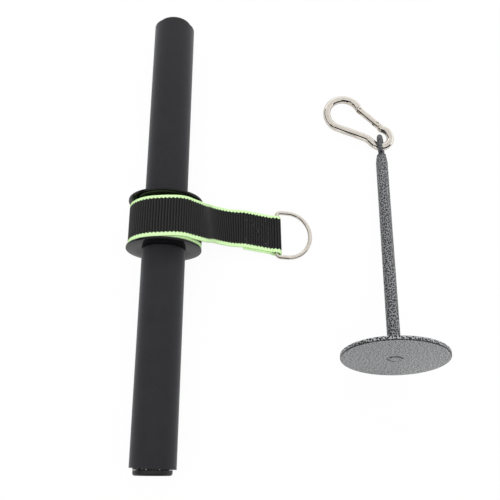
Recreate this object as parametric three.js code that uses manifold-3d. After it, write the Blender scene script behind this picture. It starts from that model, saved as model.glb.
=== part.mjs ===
// Wrist roller set, lying on a table: a foam-gripped bar with a spool and its wound strap, and the
// loading pin with its snap hook. Lengths are in millimetres, angles in degrees, and +Z is up.
// The bar lies along Y, and the strap leaves its spool towards +X.
import * as THREE from "three";
import { mergeVertices } from "three/addons/utils/BufferGeometryUtils.js";
import Module from "manifold-3d";

const wasm = await Module();
wasm.setup();

// Fits that all pieces share
const fitGap = 0.3;
const cutOverrun = 2;

// Bar: steel tube, foam grips and plugged ends
const tubeRadius = 16;
const tubeWall = 2;
const gripRadius = 19;
const gripLength = 183;
const gripEdge = 0.9;
const gripSlant = 2.2;
const capRadius = 15.9;
const capHead = 4.5;
const capRound = 2;
const capPlug = 15;
const capRib = 0.7;
const capRibs = 4;

// Spool: two flanges with the webbing wound between them
const flangeRadius = 33.15;
const flangeThickness = 2;
const flangeEdge = 0.4;
const webWidth = 38.1;
const webThickness = 1.7;
const webSideGap = 1.95;
const rimInset = 0.65;
const windLoops = 2;
const windGap = 0.45;
const windDrift = -1.6;
const leaveDrift = 0;
const leaveAngle = 42;
const leaveShare = 0.16;
const looseHeight = 2.6;
const looseShare = 0.3;

// Screw and washer that hold the strap's inner end on the tube
const screwRadius = 2;
const screwLength = 8.5;
const screwHeadRadius = 3.9;
const screwHeadHeight = 2.2;
const washerRadius = 5;
const washerThickness = 1;

// Strap tail: from the spool down to the table, then the sewn end round the D-ring
const foldReach = 106.6;
const endDrift = 9.8;
const endSkew = 1.8;
const endTilt = 10.5;
const runTwist = 7;
const sewnLength = 24.5;
const foldTaper = 9;
const threadWidth = 0.8;
const threadHeight = 0.4;
const threadInset = 4;
const ringWire = 2;
const ringHalfHeight = 22.45;
const ringDepth = 33.1;
const ringCorner = 3.6;
const barRoom = 0.5;
const ringOffset = 0.8;

// Loading pin: round plate, rod and welded eye
const plateRadius = 47;
const plateThickness = 4;
const plateEdge = 0.8;
const rodRadius = 5.8;
const rodLength = 213;
const rodTaper = 9;
const rodTip = 3.8;
const rodSink = 1;
const rodEndShares = [[0, 1], [0.67, 0.7], [1, 0]];
const tenonRadius = 5;
const tenonHeadRadius = 7;
const tenonHeadDepth = 2.2;
const tenonDome = 0.5;
const eyeWire = 2.75;
const eyeHalfWidth = 7.8;
const eyeStraight = 3.8;
const eyeRoll = 63;
const weldRadius = 4.6;
const weldReach = 2.8;
const weldShares = [[0.86, -0.62], [0.97, -0.25], [1, 0.1], [0.9, 0.45], [0.62, 0.86], [0, 1]];
const pinX = 201.3;
const pinY = -114.3;
const pinHeading = 3.14;

// Snap hook: bent wire body with a spring gate
const hookWire = 3.75;
const bigBowRadius = 17.75;
const bigBowX = 43.8;
const bigBowY = -8;
const smallBowRadius = 10.5;
const spineEndX = 13.2;
const spineEndY = 7.3;
const bigBowEnd = 80;
const smallBowStart = 75;
const smallBowEnd = 285;
const hingeX = 5.3;
const hingeY = -11.8;
const gateAngle = -18.4;
const gateLength = 29.9;
const gateRadius = 3.25;
const hookHeading = 155.15;
const hookSeat = 0.7;
const crossAngle = 115;
const crossFromBend = 1.4;

// Gate fittings: hinge rivet, latch pin, plunger and spring
const rivetPlace = 3.6;
const rivetRadius = 1.05;
const tongueThickness = 2.6;
const tongueRadius = 2.8;
const latchPlace = 3;
const latchRadius = 1;
const bladeLength = 4.9;
const bladeHalfWidth = 2.4;
const latchGap = 0.5;
const slotRoom = 1.1;
const boreRadius = 1.9;
const boreLength = 15;
const plungerRadius = 1.6;
const plungerLength = 3.6;
const springWire = 0.3;
const springCurls = 6;

// Counts of facets
const roundSides = 48;
const gripSides = 32;
const smallSides = 16;
const wireSides = 10;
const curlSides = 5;
const curlSteps = 8;
const loopSteps = 24;
const arcSteps = 5;

// Sizes worked out from those above
const webSpace = webWidth + 2 * webSideGap;
const spoolHalf = webSpace / 2 + flangeThickness;
const barHalf = spoolHalf + gripLength;
const windPitch = webThickness + windGap;
const leaveRadius = flangeRadius - rimInset - webThickness / 2;
const windStartRadius = leaveRadius - windLoops * windPitch;
const coreRadius = windStartRadius - webThickness / 2 - fitGap;
const foldRadius = ringWire + barRoom;
const ringPivotZ = webThickness + foldRadius;
const sewnHeight = 2 * webThickness;
const endLength = sewnLength + foldTaper;
const eyeHeight = eyeWire + eyeHalfWidth;
const eyeFirstBend = rodLength + fitGap + eyeHeight;

const rad = THREE.MathUtils.degToRad;

// One closed solid from any closed three.js geometry, with its faces pointing out
function solid(geometry) {
  const bare = geometry.index ? geometry.toNonIndexed() : geometry.clone();
  bare.deleteAttribute("normal");
  bare.deleteAttribute("uv");
  const merged = mergeVertices(bare);
  const points = merged.getAttribute("position").array;
  const faces = [];
  for (let i = 0; i < merged.index.count; i += 3) {
    const [a, b, c] = [0, 1, 2].map((k) => merged.index.getX(i + k));
    if (a !== b && b !== c && c !== a) {
      faces.push(a, b, c);
    }
  }
  const pointOf = (i) => new THREE.Vector3().fromArray(points, faces[i] * 3);
  let volume = 0;
  for (let i = 0; i < faces.length; i += 3) {
    volume += pointOf(i).dot(pointOf(i + 1).cross(pointOf(i + 2)));
  }
  if (volume < 0) {
    faces.reverse();
  }
  const mesh = new wasm.Mesh({
    numProp: 3,
    vertProperties: new Float32Array(points),
    triVerts: new Uint32Array(faces),
  });
  return new wasm.Manifold(mesh);
}

// The geometry of a finished solid
function shell(body) {
  const mesh = body.getMesh();
  const geometry = new THREE.BufferGeometry();
  geometry.setAttribute("position", new THREE.BufferAttribute(mesh.vertProperties, 3));
  geometry.setIndex(new THREE.BufferAttribute(mesh.triVerts, 1));
  geometry.computeVertexNormals();
  return geometry;
}

// A turned piece about the Y axis from [radius, y] pairs; a ring's profile closes on itself
function turned(profile, sides) {
  const points = profile.map(([r, y]) => new THREE.Vector2(r, y));
  const onAxis = profile[0][0] === 0 && profile[profile.length - 1][0] === 0;
  if (!onAxis) {
    points.push(points[0].clone());
  }
  return solid(new THREE.LatheGeometry(points, sides));
}

// Quarter-round corner points of a turned profile, from one angle to another
function corner(r, y, radius, from, to) {
  return Array.from({ length: arcSteps + 1 }, (_, i) => {
    const a = rad(from + ((to - from) * i) / arcSteps);
    return [r + radius * Math.cos(a), y + radius * Math.sin(a)];
  });
}

// A plain rod along Y
function rodAlongY(radius, from, to, sides) {
  const geometry = new THREE.CylinderGeometry(radius, radius, to - from, sides);
  return solid(geometry.translate(0, (from + to) / 2, 0));
}

// A plain rod along X, or along Z
function rodAlongX(radius, from, to, sides) {
  const geometry = new THREE.CylinderGeometry(radius, radius, to - from, sides);
  return solid(geometry.rotateZ(Math.PI / 2).translate((from + to) / 2, 0, 0));
}
function rodAlongZ(radius, from, to, sides) {
  const geometry = new THREE.CylinderGeometry(radius, radius, to - from, sides);
  return solid(geometry.rotateX(Math.PI / 2).translate(0, 0, (from + to) / 2));
}

// A block between two corners
function block(low, high) {
  const size = high.map((value, i) => value - low[i]);
  const middle = high.map((value, i) => (value + low[i]) / 2);
  return solid(new THREE.BoxGeometry(...size).translate(...middle));
}

// A flat path used as a space curve, for wire bent in one plane
class FlatWire extends THREE.Curve {
  constructor(path) {
    super();
    this.path = path;
  }
  getPoint(t, target = new THREE.Vector3()) {
    const at = this.path.getPoint(t);
    return target.set(at.x, at.y, 0);
  }
}

// Round wire along a curve; a closed one keeps only its side faces, whose ends then meet
function wire(curve, radius, steps, sides, closed) {
  const round = new THREE.Shape();
  for (let i = 0; i < sides; i += 1) {
    const a = ((i + 0.5) * 2 * Math.PI) / sides;
    const to = [radius * Math.cos(a), radius * Math.sin(a)];
    if (i === 0) {
      round.moveTo(...to);
    } else {
      round.lineTo(...to);
    }
  }
  round.closePath();
  const settings = { extrudePath: curve, steps, bevelEnabled: false };
  const geometry = new THREE.ExtrudeGeometry(round, settings);
  if (!closed) {
    return solid(geometry);
  }
  const sideGroup = geometry.groups[1];
  const all = geometry.getAttribute("position").array;
  const kept = all.slice(sideGroup.start * 3, (sideGroup.start + sideGroup.count) * 3);
  const open = new THREE.BufferGeometry();
  open.setAttribute("position", new THREE.BufferAttribute(kept, 3));
  return solid(open);
}

// A flat strip along stations; each has a middle point, the strip's outward direction and the
// small turn of its width away from Y
function strip(stations, thickness, width) {
  const positions = [];
  stations.forEach(({ at, out, turn = 0 }) => {
    const across = new THREE.Vector3(Math.sin(turn), Math.cos(turn), 0);
    [[-1, -1], [1, -1], [1, 1], [-1, 1]].forEach(([side, edge]) => {
      const point = at.clone()
        .addScaledVector(out, (side * thickness) / 2)
        .addScaledVector(across, (edge * width) / 2);
      positions.push(point.x, point.y, point.z);
    });
  });
  const faces = [];
  for (let i = 0; i + 1 < stations.length; i += 1) {
    for (let k = 0; k < 4; k += 1) {
      const [a, b] = [4 * i + k, 4 * i + ((k + 1) % 4)];
      faces.push(a, b, b + 4, a, b + 4, a + 4);
    }
  }
  const last = 4 * (stations.length - 1);
  faces.push(0, 2, 1, 0, 3, 2, last, last + 1, last + 2, last, last + 2, last + 3);
  const geometry = new THREE.BufferGeometry();
  geometry.setAttribute("position", new THREE.Float32BufferAttribute(positions, 3));
  geometry.setIndex(faces);
  return solid(geometry);
}

// Finishes, as the photograph shows them
const finish = (color, roughness, metalness) => ({ color, roughness, metalness });
const finishes = {
  foam: finish(0x2b2b2c, 0.9, 0),
  cap: finish(0x222223, 0.55, 0),
  blackSteel: finish(0x1c1c1d, 0.45, 0.6),
  tubeSteel: finish(0x8a8c8e, 0.4, 1),
  webbing: finish(0x1b1b1c, 0.85, 0),
  thread: finish(0x0c0c0d, 0.8, 0),
  nickel: finish(0xd8d4cc, 0.18, 1),
  zinc: finish(0xb4b6b8, 0.35, 1),
  hammertone: finish(0x77787a, 0.5, 0.5),
};

// A named piece placed in a group
function place(group, name, body, kind, position = [0, 0, 0]) {
  const mesh = new THREE.Mesh(shell(body), new THREE.MeshStandardMaterial(finishes[kind]));
  mesh.name = name;
  mesh.position.set(...position);
  group.add(mesh);
  return mesh;
}

// The screw's place: straight below the tube's middle, under the wound strap
function atScrew(body) {
  return body.rotate([-90, 0, 0]);
}

const roller = new THREE.Group();
roller.position.set(0, 0, flangeRadius);

// Core tube, with the anchor screw's hole
const screwHole = atScrew(rodAlongY(screwRadius + fitGap, 0, coreRadius, smallSides));
const tubeInner = tubeRadius - tubeWall;
const tubeProfile = [
  [tubeInner, -barHalf],
  [tubeRadius, -barHalf],
  [tubeRadius, barHalf],
  [tubeInner, barHalf],
];
place(roller, "core_tube", turned(tubeProfile, gripSides).subtract(screwHole), "tubeSteel");

// Flanges, welded on the tube
function flange() {
  const [inner, outer, half] = [tubeRadius + fitGap, flangeRadius, flangeThickness / 2];
  return turned([
    [inner, -half],
    [outer - flangeEdge, -half],
    [outer, flangeEdge - half],
    [outer, half - flangeEdge],
    [outer - flangeEdge, half],
    [inner, half],
  ], roundSides);
}
const flangeMiddle = webSpace / 2 + flangeThickness / 2;
place(roller, "lower_flange", flange(), "blackSteel", [0, -flangeMiddle, 0]);
place(roller, "upper_flange", flange(), "blackSteel", [0, flangeMiddle, 0]);

// Foam grips, pushed on from the ends up to the flanges; the outer end is cut slightly askew
function grip() {
  const inner = tubeRadius + fitGap;
  const [near, far] = [spoolHalf + fitGap, barHalf];
  const sleeve = turned([
    [inner, near],
    ...corner(gripRadius - gripEdge, near + gripEdge, gripEdge, -90, 0),
    ...corner(gripRadius - gripEdge, far - gripEdge, gripEdge, 0, 90),
    [inner, far],
  ], gripSides);
  const slant = rad(gripSlant);
  const keep = far * Math.cos(slant) - gripRadius * Math.sin(slant);
  return sleeve.trimByPlane([-Math.sin(slant), -Math.cos(slant), 0], -keep);
}
const half = (body, end) => (end < 0 ? body.rotate([0, 0, 180]) : body);
place(roller, "lower_grip", half(grip(), -1), "foam");
place(roller, "upper_grip", half(grip(), 1), "foam");

// End caps: a domed-edge head on the tube's end and a ribbed plug inside the tube
function endCap() {
  const plugRadius = tubeInner - fitGap;
  const seat = barHalf + fitGap;
  const profile = [[0, seat - capPlug], [plugRadius - capRib, seat - capPlug]];
  const ribPitch = capPlug / capRibs;
  for (let i = 0; i < capRibs; i += 1) {
    const root = seat - capPlug + i * ribPitch;
    profile.push([plugRadius - capRib, root + ribPitch / 2]);
    profile.push([plugRadius, root + (ribPitch * 3) / 4]);
    profile.push([plugRadius - capRib, root + ribPitch]);
  }
  profile.push([capRadius, seat]);
  profile.push(...corner(capRadius - capRound, barHalf + capHead - capRound, capRound, 0, 90));
  profile.push([0, barHalf + capHead]);
  return turned(profile, gripSides);
}
place(roller, "lower_end_cap", half(endCap(), -1), "cap");
place(roller, "upper_end_cap", half(endCap(), 1), "cap");

// Anchor screw and washer, sunk in the strap's inner layers
const layerTop = tubeRadius + fitGap + webThickness;
const washerFloor = layerTop + fitGap;
const headFloor = washerFloor + washerThickness + fitGap;
const headTop = headFloor + screwHeadHeight;
const washer = turned([
  [screwRadius + fitGap, washerFloor],
  [washerRadius, washerFloor],
  [washerRadius, washerFloor + washerThickness],
  [screwRadius + fitGap, washerFloor + washerThickness],
], smallSides);
const screw = turned([
  [0, headFloor - screwLength],
  [screwRadius / 2, headFloor - screwLength],
  [screwRadius, headFloor - screwLength + screwRadius],
  [screwRadius, headFloor],
  [screwHeadRadius, headFloor],
  [screwHeadRadius, headFloor + screwHeadHeight / 2],
  [screwHeadRadius - screwHeadHeight / 2, headTop],
  [0, headTop],
], smallSides);
const pocket = rodAlongY(washerRadius + fitGap, layerTop, headTop + fitGap, smallSides);
place(roller, "anchor_washer", atScrew(washer), "zinc");
place(roller, "anchor_screw", atScrew(screw), "zinc");

// Inner layers of the wound strap, as one plain ring with the screw's pocket
const coreProfile = [
  [tubeRadius + fitGap, -webWidth / 2],
  [coreRadius, -webWidth / 2],
  [coreRadius, webWidth / 2],
  [tubeRadius + fitGap, webWidth / 2],
];
const core = turned(coreProfile, roundSides).subtract(atScrew(pocket)).subtract(screwHole);
place(roller, "strap_core", core, "webbing");

// A point on the wound strap, so many turns back from where it leaves the spool; angles run from
// the top towards +X, and the turn under the leaving strap bulges loosely
function windStation(back) {
  const angle = rad(leaveAngle) - 2 * Math.PI * back;
  const out = new THREE.Vector3(Math.sin(angle), 0, Math.cos(angle));
  const loose = THREE.MathUtils.clamp((1 - back) / looseShare, 0, 1);
  const radius = leaveRadius - windPitch * back + looseHeight * Math.sin(Math.PI * loose) ** 2;
  const leaving = THREE.MathUtils.smoothstep(-back, -leaveShare, 0);
  const drift = THREE.MathUtils.lerp(windDrift, leaveDrift, leaving);
  return { at: out.clone().multiplyScalar(radius).setY(drift), out };
}

// Outer turns of the strap, one unbroken spiral strip
const windSteps = windLoops * loopSteps;
const windStations = Array.from({ length: windSteps + 1 }, (_, i) => (
  windStation((windSteps - i) / loopSteps)
));
const strapGroup = new THREE.Group();
roller.add(strapGroup);
const winding = strip(windStations, webThickness, webWidth);
place(strapGroup, "strap_winding", winding, "webbing");

// Least gap between neighbouring turns, measured from the outer points of one to the next
function leastGap() {
  const face = (station, side) => station.at.clone()
    .addScaledVector(station.out, (side * webThickness) / 2)
    .setY(0);
  let least = Infinity;
  for (let i = 0; i < windStations.length; i += 1) {
    const point = face(windStations[i], 1);
    for (let k = i + loopSteps / 2; k + 1 < windStations.length; k += 1) {
      const edge = new THREE.Line3(face(windStations[k], -1), face(windStations[k + 1], -1));
      const near = edge.closestPointToPoint(point, true, new THREE.Vector3());
      least = Math.min(least, near.distanceTo(point));
    }
  }
  return least;
}
console.log(`strap winding: least gap to itself ${leastGap().toFixed(3)} mm`);

// Sewn end's frame: it turns about the D-ring's bar, with its fold on the table
const endGroup = new THREE.Group();
endGroup.position.set(foldReach, 0, ringPivotZ - flangeRadius);
endGroup.rotation.y = rad(endTilt);
endGroup.updateMatrix();
strapGroup.add(endGroup);

// Free run of the strap: down beside the spool and out to the sewn end's upper layer
const runStart = windStation(0).at;
const runEnd = new THREE.Vector3(-endLength - fitGap, endDrift, webThickness * 1.5 - ringPivotZ)
  .applyMatrix4(endGroup.matrix);
const runShares = [
  [0, 1, 0],
  [0.056, 0.943, 0.01],
  [0.16, 0.844, 0.04],
  [0.245, 0.734, 0.11],
  [0.303, 0.616, 0.26],
  [0.346, 0.495, 0.48],
  [0.391, 0.377, 0.67],
  [0.454, 0.27, 0.78],
  [0.531, 0.182, 0.85],
  [0.618, 0.114, 0.9],
  [0.713, 0.058, 0.93],
  [0.822, 0.023, 0.95],
  [0.94, 0.005, 0.98],
  [1, 0, 1],
];
const runPoints = runShares.map(([across, up, aside]) => new THREE.Vector3(
  THREE.MathUtils.lerp(runStart.x, runEnd.x, across),
  THREE.MathUtils.lerp(runStart.y, runEnd.y, aside),
  THREE.MathUtils.lerp(runEnd.z, runStart.z, up),
));
const runCurve = new THREE.CatmullRomCurve3(runPoints, false, "centripetal");
const runGap = fitGap / runCurve.getLength();
const runStations = Array.from({ length: loopSteps + 1 }, (_, i) => {
  const along = THREE.MathUtils.lerp(runGap, 1, i / loopSteps);
  const heading = runCurve.getTangentAt(along);
  const out = new THREE.Vector3(-heading.z, 0, heading.x).normalize();
  return { at: runCurve.getPointAt(along), out, turn: -rad(runTwist) * Math.sin(Math.PI * along) };
});
place(strapGroup, "strap_run", strip(runStations, webThickness, webWidth), "webbing");

// Sewn end: two layers stitched together and opened round the D-ring's straight bar
const foldShape = new THREE.Shape();
foldShape.moveTo(-endLength, -ringPivotZ);
foldShape.lineTo(0, -ringPivotZ);
foldShape.absarc(0, 0, ringPivotZ, -Math.PI / 2, Math.PI / 2, false);
foldShape.bezierCurveTo(
  -foldTaper / 2, ringPivotZ,
  -foldTaper / 2, sewnHeight - ringPivotZ,
  -foldTaper, sewnHeight - ringPivotZ,
);
foldShape.lineTo(-endLength, sewnHeight - ringPivotZ);
foldShape.closePath();
const foldHole = new THREE.Path();
foldHole.moveTo(0, -foldRadius);
foldHole.lineTo(foldRadius - foldTaper, -foldRadius);
foldHole.bezierCurveTo(
  -foldTaper / 2, fitGap - foldRadius,
  -foldTaper / 2, foldRadius,
  0, foldRadius,
);
foldHole.absarc(0, 0, foldRadius, Math.PI / 2, -Math.PI / 2, true);
foldShape.holes.push(foldHole);
const foldSettings = { depth: webWidth, bevelEnabled: false, curveSegments: 2 * arcSteps };
const foldGeometry = new THREE.ExtrudeGeometry(foldShape, foldSettings);
foldGeometry.rotateX(Math.PI / 2).translate(0, webWidth / 2, 0);

// The sewn end runs slightly askew, so its far end lies nearer the bar's lower grip
const skew = endSkew / endLength;
function askew(body) {
  const lean = new THREE.Matrix4().makeShear(-skew, 0, 0, 0, 0, 0);
  lean.setPosition(0, endDrift - endSkew, 0);
  return body.transform(lean.elements);
}
place(endGroup, "strap_end", askew(solid(foldGeometry)), "webbing");

// Box-and-cross stitching on the sewn end's upper face
function stitchLine(from, to) {
  const [dx, dy] = [to[0] - from[0], to[1] - from[1]];
  const geometry = new THREE.BoxGeometry(Math.hypot(dx, dy), threadWidth, threadHeight);
  geometry.rotateZ(Math.atan2(dy, dx));
  const middle = [(from[0] + to[0]) / 2, (from[1] + to[1]) / 2];
  return solid(geometry.translate(...middle, sewnHeight - ringPivotZ + threadHeight / 2));
}
const stitchX = [threadInset / 2 - endLength, -foldTaper - threadWidth];
const stitchY = webWidth / 2 - threadInset;
const boxCorners = [
  [stitchX[0], -stitchY],
  [stitchX[1], -stitchY],
  [stitchX[1], stitchY],
  [stitchX[0], stitchY],
];
const stitching = boxCorners
  .flatMap((from, i) => boxCorners.slice(i + 1).map((to) => stitchLine(from, to)))
  .reduce((all, line) => all.add(line));
place(endGroup, "strap_stitching", askew(stitching), "thread");

// D-ring: its straight bar turns in the fold, and its bow lies on the table
const ringDrift = endDrift - endSkew + ringOffset;
const ringGroup = new THREE.Group();
ringGroup.position.set(0, ringDrift, 0);
ringGroup.rotation.y = Math.asin((ringPivotZ - ringWire) / ringDepth) - rad(endTilt);
endGroup.add(ringGroup);
const bowX = ringDepth - ringHalfHeight;
const ringPath = new THREE.Path();
ringPath.moveTo(0, 0);
ringPath.lineTo(0, ringHalfHeight - ringCorner);
ringPath.absarc(ringCorner, ringHalfHeight - ringCorner, ringCorner, Math.PI, Math.PI / 2, true);
ringPath.lineTo(bowX, ringHalfHeight);
ringPath.absarc(bowX, 0, ringHalfHeight, Math.PI / 2, -Math.PI / 2, true);
ringPath.lineTo(ringCorner, -ringHalfHeight);
ringPath.absarc(ringCorner, ringCorner - ringHalfHeight, ringCorner, -Math.PI / 2, -Math.PI, true);
ringPath.lineTo(0, 0);
const ring = wire(new FlatWire(ringPath), ringWire, 3 * loopSteps, wireSides, true);
place(ringGroup, "d_ring", ring, "nickel");

// Loading pin: it lies on its plate's rim and on the lower side of its eye
const eyeSide = eyeHalfWidth * Math.sin(rad(eyeRoll));
const eyeTouch = eyeFirstBend + eyeStraight;
const [rise, run] = [plateRadius - eyeSide, eyeTouch - plateThickness];
const pinTilt = Math.acos(eyeWire / Math.hypot(rise, run)) - Math.atan2(run, rise);
const pin = new THREE.Group();
const pinHeight = plateRadius * Math.cos(pinTilt) + plateThickness * Math.sin(pinTilt);
pin.position.set(pinX, pinY, pinHeight);
pin.rotation.set(-pinTilt, 0, -rad(pinHeading), "ZXY");

// Base plate, recessed on top for the rod and countersunk from below for its peened end
const seatRadius = tenonRadius + fitGap;
const sinkRadius = tenonHeadRadius + fitGap;
const recessRadius = rodRadius + fitGap;
const recessFloor = plateThickness - rodSink;
const plate = turned([
  [sinkRadius, 0],
  ...corner(plateRadius - plateEdge, plateEdge, plateEdge, -90, 0),
  ...corner(plateRadius - plateEdge, plateThickness - plateEdge, plateEdge, 0, 90),
  [recessRadius, plateThickness],
  [recessRadius, recessFloor],
  [seatRadius, recessFloor],
  [seatRadius, tenonHeadDepth],
], roundSides);
place(pin, "base_plate", plate, "hammertone");

// Rod, turned down through the plate and peened over below it
function rodProfile(grow) {
  const cone = rodEndShares.map(([along, wide]) => [
    THREE.MathUtils.lerp(rodTip, rodRadius, wide) + grow,
    rodLength + (along - 1) * rodTaper + along * grow,
  ]);
  return [...cone, [0, rodLength + grow]];
}
const rod = turned([
  [0, -tenonDome],
  [tenonRadius, -tenonDome / 2],
  [tenonHeadRadius, 0],
  [tenonRadius, tenonHeadDepth],
  [tenonRadius, recessFloor + fitGap],
  [rodRadius, recessFloor + fitGap],
  ...rodProfile(0),
], smallSides);
place(pin, "load_rod", rod, "hammertone");

// Eye: an oval ring of round bar, rolled about the rod's axis
function eyeRing(radius) {
  const path = new THREE.Path();
  const middle = (eyeFirstBend + eyeTouch) / 2;
  path.moveTo(eyeHalfWidth, middle);
  path.lineTo(eyeHalfWidth, eyeTouch);
  path.absarc(0, eyeTouch, eyeHalfWidth, 0, Math.PI, false);
  path.lineTo(-eyeHalfWidth, eyeFirstBend);
  path.absarc(0, eyeFirstBend, eyeHalfWidth, Math.PI, 2 * Math.PI, false);
  path.lineTo(eyeHalfWidth, middle);
  return wire(new FlatWire(path), radius, 2 * loopSteps, wireSides, true).rotate([0, eyeRoll, 0]);
}
place(pin, "eye_ring", eyeRing(eyeWire), "hammertone");

// Weld bead that joins the eye to the rod
const weldProfile = weldShares.map(([r, y]) => [r * weldRadius, rodLength + y * weldReach]);
const grownRod = turned([[0, 0], [rodRadius + fitGap, 0], ...rodProfile(fitGap)], smallSides);
const weld = turned([[0, weldProfile[0][1]], ...weldProfile], smallSides)
  .subtract(grownRod)
  .subtract(eyeRing(eyeWire + fitGap));
place(pin, "eye_weld", weld, "hammertone");

// Snap hook: it hangs in the eye by its small bow and rests on the table with its big bow
const crossing = new THREE.Vector3(
  smallBowRadius * Math.cos(rad(crossAngle)),
  smallBowRadius * Math.sin(rad(crossAngle)),
  0,
);
const hook = new THREE.Group();
const lateral = new THREE.Vector3(-Math.cos(rad(eyeRoll)), 0, Math.sin(rad(eyeRoll)));
pin.updateMatrix();
const hookAt = new THREE.Vector3(0, eyeFirstBend + crossFromBend, 0)
  .addScaledVector(lateral, -hookSeat)
  .applyMatrix4(pin.matrix);
const hookTilt = Math.asin((hookAt.z - hookWire) / (bigBowX + bigBowRadius - crossing.x));
hook.position.copy(hookAt);
hook.rotation.set(0, hookTilt, rad(hookHeading), "ZYX");

const hookPath = new THREE.Path();
const hookParts = new THREE.Group();
hookParts.position.copy(crossing).negate();
hook.add(hookParts);
const gateTurn = rad(gateAngle);
const alongGate = (x) => [hingeX + x * Math.cos(gateTurn), hingeY + x * Math.sin(gateTurn)];
const bigStart = Math.atan2(alongGate(gateLength)[1] - bigBowY, alongGate(gateLength)[0] - bigBowX);
const spineTurn = rad(bigBowEnd);
const kinkTurn = rad(smallBowStart);
const onBig = (a) => [bigBowX + bigBowRadius * Math.cos(a), bigBowY + bigBowRadius * Math.sin(a)];
const onSmall = (a) => [smallBowRadius * Math.cos(a), smallBowRadius * Math.sin(a)];
const kinkReach = (spineEndX - onSmall(kinkTurn)[0]) / 2;
hookPath.moveTo(...onBig(bigStart));
hookPath.absarc(bigBowX, bigBowY, bigBowRadius, bigStart, spineTurn, false);
hookPath.bezierCurveTo(
  onBig(spineTurn)[0] - kinkReach * Math.sin(spineTurn),
  onBig(spineTurn)[1] + kinkReach * Math.cos(spineTurn) / 2,
  spineEndX + 2 * kinkReach, spineEndY,
  spineEndX, spineEndY,
);
hookPath.bezierCurveTo(
  spineEndX - kinkReach, spineEndY,
  onSmall(kinkTurn)[0] + kinkReach * Math.sin(kinkTurn),
  onSmall(kinkTurn)[1] - kinkReach * Math.cos(kinkTurn),
  ...onSmall(kinkTurn),
);
hookPath.absarc(0, 0, smallBowRadius, kinkTurn, rad(smallBowEnd), false);
hookPath.lineTo(...alongGate(0));

// The gate's own frame: its hinge end at the origin, and the gate along X
const gateFrame = (body) => body.rotate([0, 0, gateAngle]).translate([hingeX, hingeY, 0]);
const bendRoom = 2 * hookWire;
const gateZone = gateFrame(block([0, -bendRoom, -bendRoom], [gateLength, bendRoom, bendRoom]));
const tongue = rodAlongZ(tongueRadius, -tongueThickness / 2, tongueThickness / 2, smallSides)
  .translate([rivetPlace, 0, 0])
  .add(block(
    [-hookWire, -tongueRadius, -tongueThickness / 2],
    [rivetPlace, tongueRadius, tongueThickness / 2],
  ))
  .subtract(rodAlongZ(rivetRadius + fitGap, -bendRoom, bendRoom, smallSides)
    .translate([rivetPlace, 0, 0]));
const bladeHalf = tongueThickness / 2;
const latchX = gateLength - latchPlace;
const notchRadius = latchRadius + fitGap;
const blade = block(
  [gateLength - bladeLength, -bladeHalfWidth, -bladeHalf],
  [gateLength + hookWire / 2, bladeHalfWidth, bladeHalf],
)
  .subtract(rodAlongZ(notchRadius, -bendRoom, bendRoom, smallSides).translate([latchX, 0, 0]))
  .subtract(block([latchX - notchRadius, 0, -bendRoom], [latchX + notchRadius, bendRoom, bendRoom]));
const hookWireBody = wire(new FlatWire(hookPath), hookWire, 4 * loopSteps, wireSides, false);
const hookBody = hookWireBody.subtract(gateZone).add(gateFrame(tongue)).add(gateFrame(blade));
place(hookParts, "hook_body", hookBody, "nickel");

// Gate: round bar, rounded and slotted at the hinge, slotted at the latch, bored for its spring
const gateGroup = new THREE.Group();
gateGroup.position.set(...alongGate(rivetPlace), 0);
gateGroup.rotation.z = gateTurn;
hookParts.add(gateGroup);
const fromRivet = (x) => x - rivetPlace;
const slotHalf = tongueThickness / 2 + fitGap;
const slotEnd = tongueRadius + slotRoom;
const gateEnd = fromRivet(gateLength - latchGap);
const earDisc = rodAlongZ(gateRadius, -gateRadius, gateRadius, smallSides);
const gateBlank = rodAlongX(gateRadius, -gateRadius, gateEnd, smallSides)
  .intersect(earDisc.add(block([0, -bendRoom, -bendRoom], [gateEnd, bendRoom, bendRoom])));
const gate = gateBlank
  .subtract(block([-bendRoom, -bendRoom, -slotHalf], [slotEnd, bendRoom, slotHalf]))
  .subtract(block(
    [fromRivet(gateLength - bladeLength) - slotRoom, -bendRoom, -slotHalf],
    [gateEnd + cutOverrun, bendRoom, slotHalf],
  ))
  .subtract(rodAlongX(boreRadius, 0, slotEnd + boreLength, smallSides))
  .subtract(rodAlongZ(rivetRadius + fitGap, -bendRoom, bendRoom, smallSides))
  .subtract(rodAlongZ(latchRadius + fitGap, -bendRoom, bendRoom, smallSides)
    .translate([fromRivet(latchX), 0, 0]));
place(gateGroup, "hook_gate", gate, "nickel");

// Hinge rivet and latch pin, both across the gate
const pinHalf = gateRadius - fitGap;
const rivet = rodAlongZ(rivetRadius, -pinHalf, pinHalf, smallSides);
place(gateGroup, "gate_rivet", rivet, "nickel");
const latchPin = rodAlongZ(latchRadius, -pinHalf, pinHalf, smallSides);
place(gateGroup, "latch_pin", latchPin, "nickel", [fromRivet(latchX), 0, 0]);

// Plunger and spring in the gate's bore, which push on the tongue and close the gate
const plungerTip = tongueRadius + fitGap;
const plunger = turned([
  [0, plungerTip],
  [plungerRadius / 2, plungerTip],
  [plungerRadius, plungerTip + plungerRadius / 2],
  [plungerRadius, plungerTip + plungerLength],
  [0, plungerTip + plungerLength],
], smallSides).rotate([0, 0, -90]);
place(gateGroup, "gate_plunger", plunger, "zinc");
class Helix extends THREE.Curve {
  getPoint(t, target = new THREE.Vector3()) {
    const turn = 2 * Math.PI * springCurls * t;
    const x = THREE.MathUtils.lerp(springFrom, springTo, t);
    return target.set(x, springRadius * Math.cos(turn), springRadius * Math.sin(turn));
  }
}
const springRadius = boreRadius - springWire - fitGap;
const springFrom = plungerTip + plungerLength + springWire + fitGap;
const springTo = slotEnd + boreLength - springWire - fitGap;
const spring = wire(new Helix(), springWire, springCurls * curlSteps, curlSides, false);
place(gateGroup, "gate_spring", spring, "zinc");

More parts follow.
